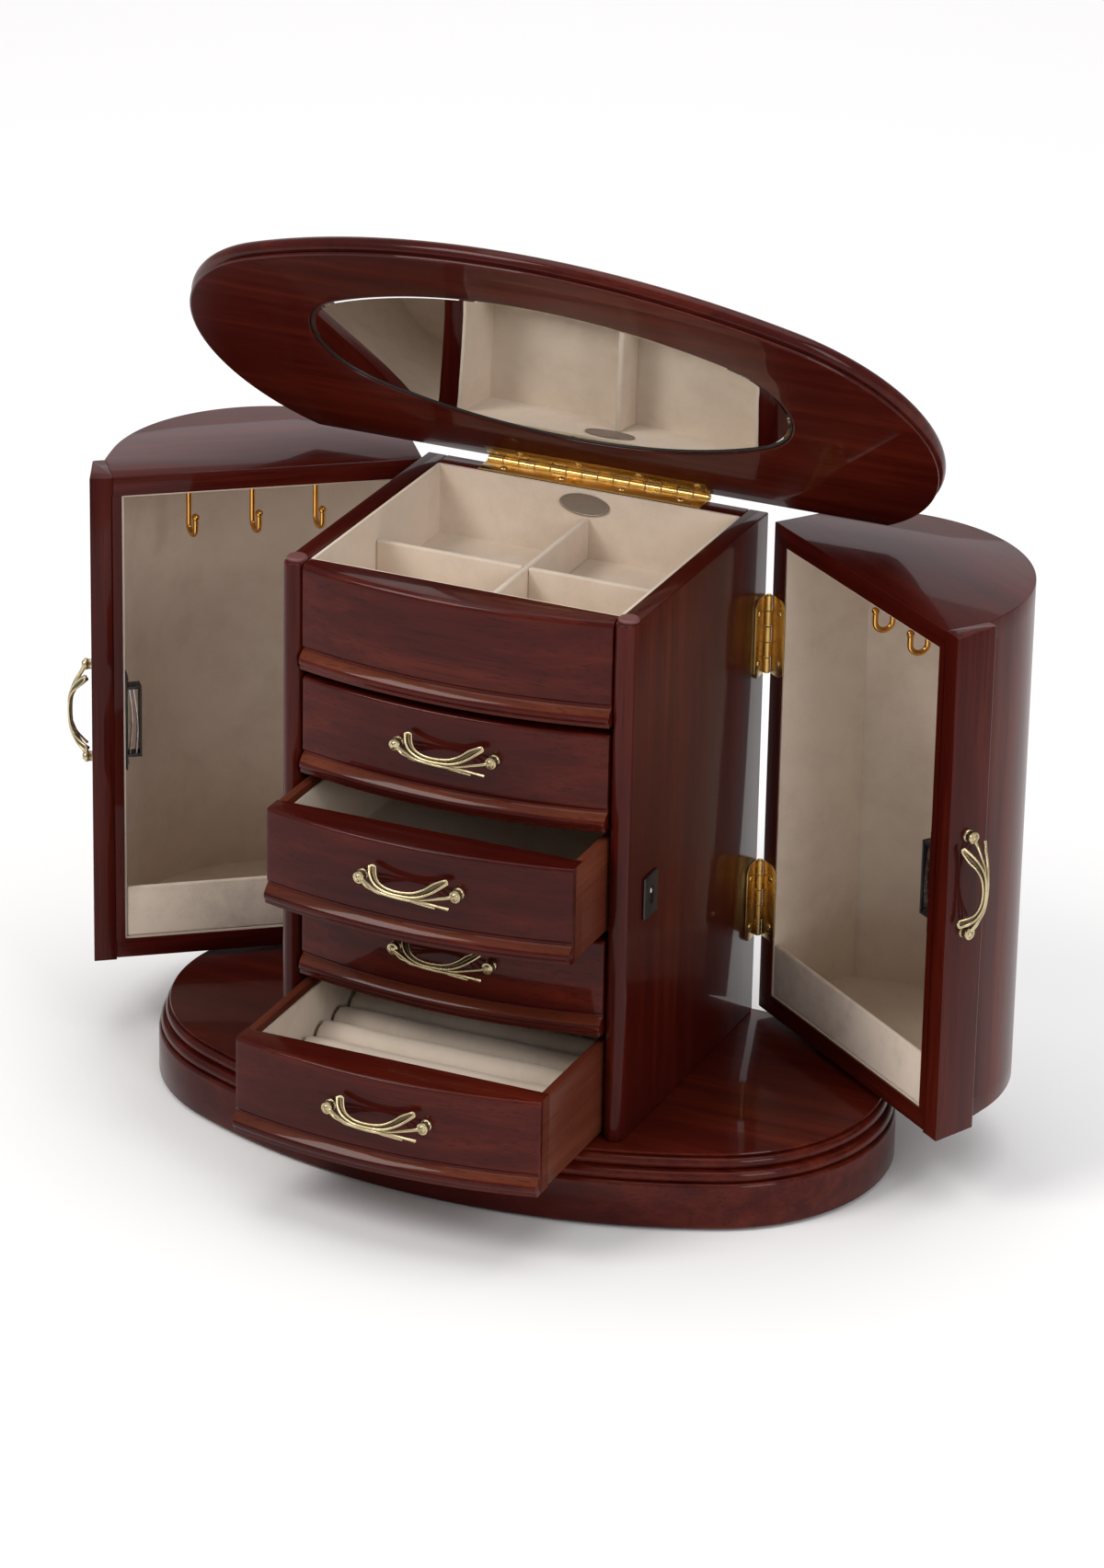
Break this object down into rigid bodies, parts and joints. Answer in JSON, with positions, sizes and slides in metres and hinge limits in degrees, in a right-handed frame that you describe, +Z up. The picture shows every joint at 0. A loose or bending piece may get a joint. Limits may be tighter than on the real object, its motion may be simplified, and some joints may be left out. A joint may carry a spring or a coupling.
{
  "type": "jewellery chest with drawers",
  "caption": "Oval tabletop jewellery chest with a mirror lid, a lined tray, bowed drawers and two D-shaped doors with necklace hooks.",
  "frame": {"origin": "centre of the oval base's resting face", "axes": "+X to the chest's right as seen from the front, +Y to its flat back, +Z up"},
  "size_m": [0.4902, 0.2977, 0.4603],
  "materials": {
    "mahogany": "dark red-brown, high gloss lacquer",
    "inner_wood": "red-brown, satin",
    "suede": "cream suede, matt",
    "felt": "dark felt, matt",
    "plaque": "taupe, satin, blank",
    "bumper": "matt red-brown",
    "mirror": "silvered",
    "antique_brass": "antique, darkened in the recesses",
    "dark_steel": "dark polished",
    "brass": "polished"
  },
  "bodies": {
    "chest": {"base_felt": "felt", "base_skirt": "mahogany", "base_moulding": "mahogany", "side_left": "mahogany", "side_right": "mahogany", "back_panel": "mahogany", "top_front": "mahogany", "shelves": "inner_wood", "tray_lining": "suede", "tray_dividers": "suede", "tray_plaque": "plaque", "lid_bumpers": "bumper", "strike_plates": "dark_steel", "lid_hinge_chest_leaf": "brass", "door_hinge_chest_leaves": "brass", "hinge_pins": "brass", "chest_screws": "brass"},
    "lid": {"lid_board": "mahogany", "lid_mirror": "mirror", "mirror_frame": "mahogany", "lid_hinge_leaf": "brass", "lid_screws": "brass"},
    "left_door": {"left_door_top": "mahogany", "left_door_bottom": "mahogany", "left_door_wall": "mahogany", "left_door_stile": "mahogany", "left_door_lining": "suede", "left_door_pocket": "suede", "left_door_hooks": "brass", "left_door_catch": "dark_steel", "left_door_pull": "antique_brass", "left_door_hinges": "brass"},
    "right_door": {"right_door_top": "mahogany", "right_door_bottom": "mahogany", "right_door_wall": "mahogany", "right_door_stile": "mahogany", "right_door_lining": "suede", "right_door_pocket": "suede", "right_door_hooks": "brass", "right_door_catch": "dark_steel", "right_door_pull": "antique_brass", "right_door_hinges": "brass"},
    "drawer_1": {"drawer_1_front": "mahogany", "drawer_1_box": "inner_wood", "drawer_1_lining": "suede", "drawer_1_pull": "antique_brass"},
    "drawer_2": {"drawer_2_front": "mahogany", "drawer_2_box": "inner_wood", "drawer_2_lining": "suede", "drawer_2_pull": "antique_brass"},
    "drawer_3": {"drawer_3_front": "mahogany", "drawer_3_box": "inner_wood", "drawer_3_lining": "suede", "drawer_3_pull": "antique_brass"},
    "drawer_4": {"drawer_4_front": "mahogany", "drawer_4_box": "inner_wood", "drawer_4_lining": "suede", "drawer_4_pull": "antique_brass", "drawer_4_ring_rolls": "suede"}
  },
  "joints": [
    {"name": "lid_hinge", "type": "hinge", "parent": "chest", "child": "lid", "pos_m": [0, 0.0956, 0.3064], "axis": [-1, 0, 0], "range_deg": [-48.9, 46]},
    {"name": "left_door_hinge", "type": "hinge", "parent": "chest", "child": "left_door", "pos_m": [-0.09255, 0.0925, 0.17], "axis": [0, 0, -1], "range_deg": [-53.2, 56.8]},
    {"name": "right_door_hinge", "type": "hinge", "parent": "chest", "child": "right_door", "pos_m": [0.09255, 0.0925, 0.17], "axis": [0, 0, 1], "range_deg": [-53.2, 56.8]},
    {"name": "drawer_1_slide", "type": "slide", "parent": "chest", "child": "drawer_1", "axis": [0, -1, 0], "range_m": [0, 0.11]},
    {"name": "drawer_2_slide", "type": "slide", "parent": "chest", "child": "drawer_2", "axis": [0, -1, 0], "range_m": [-0.038, 0.072]},
    {"name": "drawer_3_slide", "type": "slide", "parent": "chest", "child": "drawer_3", "axis": [0, -1, 0], "range_m": [0, 0.11]},
    {"name": "drawer_4_slide", "type": "slide", "parent": "chest", "child": "drawer_4", "axis": [0, -1, 0], "range_m": [-0.071, 0.039]}
  ]
}
